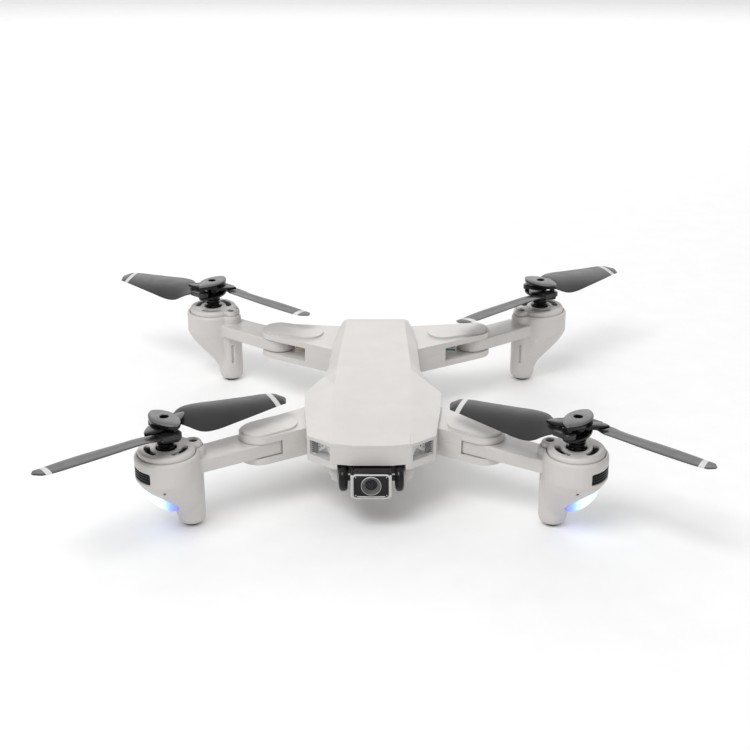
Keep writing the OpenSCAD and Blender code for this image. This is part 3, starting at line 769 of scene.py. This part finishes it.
def camera_pieces():
    """Black core with silver cheeks and rim, glossy window, stepped lens and its glass. The frame's top is painted
    black as painted shade under the bay.
    """
    core = carve("camera_core", [
        at_camera(across(side_profile(7.15, 9.2, 1.6), -9.5, 9.5, 0.3)),
        at_camera(turned(lathe([(1.5, -14.2), (1.5, 14.2)], count=32), rotation(90, "Y")))])
    cheeks = [at_camera(across(side_profile(7.3, 10.5, 2.4), x, x + 1.3, 0.45))
              for x in (-10.9, 9.6)]
    bezel = facing(prism(rounded_rect(-10.3, 10.3, -7.3, 7.0, 2.3),
                         [(9.6, 0), (10.2, 0), (10.4, 0.12), (10.5, 0.4)]))
    hollow = facing(prism(rounded_rect(-9.35, 9.35, -6.45, 6.5, 1.7), [(7, 0), (12, 0)]))
    silver = carve("camera_frame", [at_camera(bezel)] + cheeks, [at_camera(hollow)])
    panel = facing(prism(rounded_rect(-9.3, 9.3, -6.4, 6.45, 1.65),
                         [(8.4, 0), (9.95, 0), (10.1, 0.15)]))
    eye = Matrix.Translation((0, 0, 0.6))
    mouth = turned(facing(lathe([(5.45, 7), (5.45, 12)], count=64)), eye)
    wells = [facing(lathe([(0.5, 9.7), (0.62, 12)], x, z, 16)) for x, z in CAMERA_SCREWS]
    window = carve("camera_window_gloss", [at_camera(panel)],
                   [at_camera(cut) for cut in [mouth] + wells])
    lip = facing(prism(rounded_rect(-7.6, 7.6, -6.35, -5.55, 0.35), [(9.9, 0), (10.3, 0.2)]))
    ring = facing(lathe([(5.36, 10.4), (5.36, 10.9), (5.28, 11.0)]))
    hole = facing(lathe([(5.14, 9), (5.14, 12)]))
    screws = [facing(lathe([(0.42, 9.6), (0.42, 9.85), (0.25, 9.95)], x, z, 16))
              for x, z in CAMERA_SCREWS]
    trim = carve("camera_trim", [at_camera(p) for p in [turned(ring, eye), lip] + screws],
                 [at_camera(turned(hole, eye))])
    rings = [(5.35, 5.1), (5.35, 10.7), (5.1, 10.75), (5.0, 10.4), (4.6, 10.1), (4.5, 10.15),
             (4.4, 9.9), (4.0, 9.7), (3.9, 9.75), (3.8, 9.5), (3.4, 9.3), (3.3, 9.35),
             (3.1, 9.0), (2.5, 8.75), (2.4, 8.4), (1.5, 8.3), (1.2, 8.0)]
    barrel = carve("camera_barrel", [at_camera(turned(facing(lathe(rings)), eye))])
    dome = [(3.05, 9.1), (3.05, 9.25), (2.6, 9.55), (1.9, 9.8), (1.1, 9.95), (0.4, 10.0)]
    glass = carve("camera_glass", [at_camera(turned(facing(lathe(dome)), eye))])
    axis = spot("camera_tilt")
    # Painted shade: silver faces on the frame's top, not far in front of the axis, are painted gloss black where
    # the bay above shades them.
    for face in silver.data.polygons:
        lifted = face.center.z - axis.z > 0.5 * MM
        behind = axis.y - face.center.y < SHADED_TOP_REACH * MM
        face.material_index = 1 if lifted and behind else 0
    return ((shade(core, 35), "camera_head", "hub", (GLOSS,)),
            (shade(silver, 35), None, "shell", (SILVER, GLOSS)),
            (shade(window, 35), "camera_window", "lens", (GLOSS,)),
            (shade(trim, 35), None, "steel", (SILVER,)),
            (shade(barrel, 30), "camera_lens", "lens", (HUB,)),
            (shade(glass, 60), None, "lens", (GLASS,)))


def mount_mesh():
    """Two capsule-like pods beside the camera and the bridge that carries them."""
    pod = [(0, 0), (4.6, 0), (5.8, 0.25), (6.6, 0.8), (7.05, 1.6), (7.2, 2.5), (7.05, 3.4),
           (6.6, 4.2), (5.8, 4.75), (4.6, 5), (0, 5)]
    back = -84.05
    axis = spot("camera_tilt") / MM
    parts = []
    for s in (-1, 1):
        disc = lathe([(max(r, 0.01), z - 2.5) for r, z in pod], count=64)
        parts.append(turned(disc, Matrix.Translation((s * 15, axis.y, axis.z))
                            @ rotation(90, "Y")))
        low, high = sorted((s * 12.5, s * 17.5))
        parts.append(prism(rounded_rect(low, high, axis.y + 0.5, back, 0.9),
                           [(23.5, 0.5), (24.0, 0), (33.3, 0)]))
    parts.append(prism(rounded_rect(-17.4, 17.4, -85.6, back, 0.3),
                       [(21.9, 0.2), (22.1, 0), (25, 0)]))
    parts.append(prism(rounded_rect(-17.4, 17.4, -87, back, 0.4),
                       [(23.6, 0.3), (23.9, 0), (33.3, 0)]))
    bore = turned(lathe([(1.55, -14.5), (1.55, 14.5)], count=32),
                  Matrix.Translation((0, axis.y, axis.z)) @ rotation(90, "Y"))
    return shade(carve("camera_mount_pods", parts, [bore]), 35)


finish_piece(mount_mesh(), "body", "camera_mount", "hub", GLOSS)
for piece, node, slot, materials in camera_pieces():
    finish_piece(piece, "camera", node, slot, *materials)


# ----------------------------------------------------------------- headlights

def lamp_pieces(side):
    """Reflector with a sloping face, chips and louvre, made for the right lamp."""
    ramp = prism([(-6.9, 1.8), (4.1, 3.6), (4.1, 6.2), (-6.9, 6.2)], [(-4.05, 0), (4.05, 0)])
    wedge = turned(block(-7, 9, -8, 8, -3, 3), Matrix.Translation((0.6, 1.6, -5.2))
                   @ rotation(38, "Y") @ rotation(12, "X"))
    lip = [block(-7.1, 7.1, 1.42, 2.0, 3.6, 4.1), block(-7.1, 7.1, 1.42, 2.0, -4.1, -3.6)]
    bowl = carve("lamp_bowl", [ramp] + lip, [wedge])
    chips = []
    for x, z in ((2.6, 2.2), (2.9, 0.1), (0.4, 1.6)):
        depth = 1.8 + (x + 6.9) / 11 * 1.8
        chips.append(turned(lathe([(0.42, -0.3), (0.42, 0.25), (0.3, 0.35)], count=24),
                            Matrix.Translation((x, depth, z)) @ rotation(90, "X")))
    louvre = [block(4.2, 7.05, 3.4, 4.2, -3.9, 3.9), block(4.2, 4.5, 1.5, 4.2, -3.6, 3.9)]
    louvre += [block(4.9, 7.05, 1.6, 3.6, -3.5 + 1.2 * k, -3.2 + 1.2 * k) for k in range(6)]
    dark = carve("lamp_louvre", louvre + chips)
    cover = prism(rounded_rect(-7.1, 7.1, -4.1, 4.1, 0.5),
                  [(-1.35, 0), (-0.35, 0), (-0.15, 0.2)])
    cover = carve("lamp_cover", [turned(cover, rotation(90, "X"))])
    made = (shade(bowl, 25), shade(dark, 25), shade(cover, 30))
    for obj in made:
        if side < 0:
            obj.data.transform(Matrix.Scale(-1, 4, (1, 0, 0)))
            obj.data.flip_normals()
        obj.name += "_left" if side < 0 else "_right"
    return made


low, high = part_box("headlight_lenses")
height = (low.z + high.z) / 2
for side in (-1, 1):
    seat = Matrix.Translation((side * 27.8 * MM, -92.75 * MM, height)) \
        @ rotation(side * 39.8, "Z")
    bowl, dark, cover = lamp_pieces(side)
    finish_piece(bowl, "body", "headlight_reflectors", "reflector", place=seat)
    finish_piece(dark, "body", None, "dark", GLOSS, place=seat)
    finish_piece(cover, "body", "headlight_lenses", "clear", place=seat)


# ---------------------------------------------------------------- motor leads

def tube(points, r, count=12):
    """A round lead along a smooth line."""
    rings = []
    for k, p in enumerate(points):
        ahead = Vector(points[min(k + 1, len(points) - 1)])
        turn = (ahead - Vector(points[max(k - 1, 0)])).to_track_quat("X", "Z")
        rings.append([tuple(Vector(p) + turn @ Vector((0, *polar(r, 360 * n / count))))
                      for n in range(count)])
    return loft(rings)


for side, tones in ((-1, (BEIGE, BROWN, BEIGE)), (1, (TEAL, BROWN, TEAL))):
    where = "left" if side < 0 else "right"
    for k, tone in enumerate(tones):
        line = [(44.0 + 6.5 * t, 63.6 + 1.55 * k + 0.3 * math.sin(3.1 * t + k),
                 34.1 + 1.7 * k + 0.22 * math.sin(4.4 * t + 2 * k))
                for t in (n / 14 for n in range(15))]
        lead = tube(line, 0.62)
        if side < 0:
            bmesh.ops.scale(lead, vec=(-1, 1, 1), verts=lead.verts)
            bmesh.ops.reverse_faces(lead, faces=lead.faces)
        lead = shade(to_object(f"lead_{where}_{k + 1}", lead), 60)
        finish_piece(lead, "body", "motor_wires", "wire", tone)


# ------------------------------------------------------------- kept CAD nodes

def dress(node, width, angle=25):
    """Rounds a CAD node's edges with modifiers; its own mesh stays as packed. The width is in
    millimetres, and edges sharper than the angle in degrees are rounded."""
    obj = nodes[node]
    for face in obj.data.polygons:
        face.use_smooth = True
    weld = obj.modifiers.new("weld", "WELD")
    weld.merge_threshold = 0.000002
    flat = obj.modifiers.new("flat", "DECIMATE")
    flat.decimate_type, flat.angle_limit = "DISSOLVE", math.radians(0.6)
    bevel = obj.modifiers.new("bevel", "BEVEL")
    bevel.width, bevel.segments = width * MM, 3
    bevel.limit_method, bevel.angle_limit = "ANGLE", math.radians(angle)
    bevel.use_clamp_overlap = True
    bevel.harden_normals = True
    normals = obj.modifiers.new("normals", "WEIGHTED_NORMAL")
    normals.keep_sharp = True


slots = {s.get("node", s.get("name")): s["material_slot"] for s in frame["record"]["subparts"]}
for name, obj in nodes.items():
    if not obj.hide_render:
        obj.data.materials.clear()
        obj.data.materials.append(FINISH[slots[name]])
dress("top_cover", 0.55, angle=4)
for node, width in (("upper_frame", 0.35), ("lower_frame", 0.45), ("battery", 0.5),
                    ("power_button", 0.25), ("flow_sensor", 0.2)):
    dress(node, width)


# -------------------------------------------------------------- floor and light

def backdrop():
    """Floor that sweeps up into a wall far behind the drone."""
    bm = bmesh.new()
    start, radius = 1.8, 1.4
    line = [(-2.4, 0.0), (start, 0.0)]
    for a in range(6, 91, 6):
        a = math.radians(a)
        line.append((start + radius * math.sin(a), radius - radius * math.cos(a)))
    rows = [[bm.verts.new((x, y, z)) for x in (-4, 4)] for y, z in line]
    for a, b in zip(rows, rows[1:]):
        bm.faces.new((a[0], a[1], b[1], b[0])).smooth = True
    mesh = bpy.data.meshes.new("backdrop")
    bm.to_mesh(mesh)
    bm.free()
    obj = bpy.data.objects.new("backdrop", mesh)
    bpy.context.scene.collection.objects.link(obj)
    mesh.materials.append(plastic("paper_white", (0.9, 0.9, 0.9), (0.92, 0.92, 0.92),
                                  (0.75, 0.85), 300, 0.05))


def area_light(name, place, aim, size, power):
    data = bpy.data.lights.new(name, "AREA")
    data.shape = "RECTANGLE"
    data.size, data.size_y = size
    data.energy = power
    obj = bpy.data.objects.new(name, data)
    obj.location = place
    obj.rotation_euler = (Vector(aim) - Vector(place)).to_track_quat("-Z", "Y").to_euler()
    bpy.context.scene.collection.objects.link(obj)


def camera():
    """The camera that the photograph's perspective gives."""
    yaw, pitch, roll = 0.01662, 0.40217, -0.00695
    ahead = Vector((-math.sin(yaw) * math.cos(pitch), math.cos(yaw) * math.cos(pitch),
                    -math.sin(pitch)))
    level = Vector((math.cos(yaw), math.sin(yaw), 0))
    up = level.cross(ahead)
    right = math.cos(roll) * level + math.sin(roll) * up
    over = -math.sin(roll) * level + math.cos(roll) * up
    data = bpy.data.cameras.new("camera")
    data.sensor_width = 36
    data.lens = 69.84
    data.clip_start = 0.01
    obj = bpy.data.objects.new("camera", data)
    spin = Matrix((right, over, -ahead)).transposed().to_4x4()
    obj.matrix_world = Matrix.Translation((0.0138, -0.7929, 0.3811)) @ spin
    bpy.context.scene.collection.objects.link(obj)
    bpy.context.scene.camera = obj


world = bpy.data.worlds.new("studio")
world.use_nodes = True
background = world.node_tree.nodes["Background"].inputs
background["Color"].default_value = (1, 1, 1, 1)
background["Strength"].default_value = 0.68
bpy.context.scene.world = world
bpy.context.scene.view_settings.view_transform = "Standard"
backdrop()
area_light("key", (-0.5, -0.7, 1.35), (0, 0, 0.03), (0.9, 0.7), 11.5)
area_light("back_sheen", (0.1, 1.5, 0.75), (0, 0, 0.05), (2.2, 0.8), 8.5)
camera()
